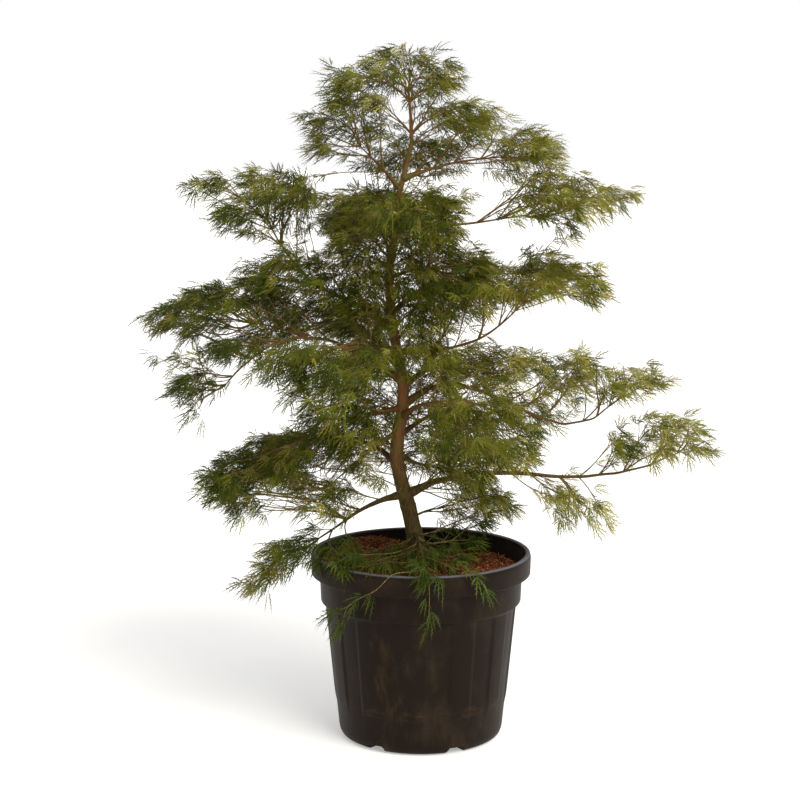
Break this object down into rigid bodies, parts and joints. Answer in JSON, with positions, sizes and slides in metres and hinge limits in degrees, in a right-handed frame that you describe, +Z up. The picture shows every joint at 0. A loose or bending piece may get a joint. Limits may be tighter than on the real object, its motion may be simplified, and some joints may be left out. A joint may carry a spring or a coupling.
{
  "type": "potted laceleaf maple",
  "caption": "Young laceleaf maple tree with a slender leaning trunk, arching boughs and layered feathery foliage, growing in a ribbed black plastic nursery pot.",
  "frame": {"origin": "middle of the pot's flat underside, where it stands", "axes": "+Z up, +X to the right of the plant's front, -Y towards its front"},
  "size_m": [1.0675, 0.7302, 1.2417],
  "materials": {
    "pot_plastic": "moulded black nursery plastic, satin, scuffed and dusted with soil",
    "potting_mix": "loose red-brown coir and bark fibre",
    "bark": "young maple bark, brown with green algae",
    "foliage": "matt green laceleaf foliage"
  },
  "bodies": {
    "root": {"pot": "pot_plastic", "root_ball": "potting_mix", "trunk": "bark", "bough_right_low": "bark", "bough_right_under": "bark", "bough_right_mid": "bark", "bough_right_mid_inner": "bark", "bough_right_upper": "bark", "bough_right_thin": "bark", "bough_right_shoulder": "bark", "bough_right_top": "bark", "bough_left_low": "bark", "bough_left_under": "bark", "bough_left_mid": "bark", "bough_left_arch": "bark", "bough_left_arch_fork": "bark", "bough_left_upper": "bark", "bough_left_top": "bark", "bough_front_left": "bark", "bough_front_right": "bark", "bough_front_low": "bark", "bough_back_high": "bark", "bough_back_right": "bark", "bough_back_left": "bark", "bough_back_low_right": "bark", "bough_back_low_left": "bark", "mass_crown_top": "foliage", "mass_top_left": "foliage", "mass_second_left": "foliage", "mass_second_right": "foliage", "mass_right_top": "foliage", "mass_right_shoulder": "foliage", "mass_front_top": "foliage", "mass_left_upper": "foliage", "mass_left_centre": "foliage", "mass_left_outer": "foliage", "mass_left_arch_tip": "foliage", "mass_left_arch_fan": "foliage", "mass_left_mid_inner": "foliage", "mass_left_mid": "foliage", "mass_left_under": "foliage", "mass_left_skirt": "foliage", "mass_left_rim_spray": "foliage", "mass_front_spray": "foliage", "mass_right_under": "foliage", "mass_right_upper": "foliage", "mass_centre_right": "foliage", "mass_right_mid_inner": "foliage", "mass_right_mid_outer": "foliage", "mass_right_low_inner": "foliage", "mass_right_low_outer": "foliage", "mass_right_low_spray": "foliage", "mass_front_left": "foliage", "mass_front_right": "foliage", "mass_back_top": "foliage", "mass_back_high": "foliage", "mass_back_right": "foliage", "mass_back_left": "foliage", "mass_back_low_right": "foliage", "mass_back_low_left": "foliage"}
  },
  "joints": []
}
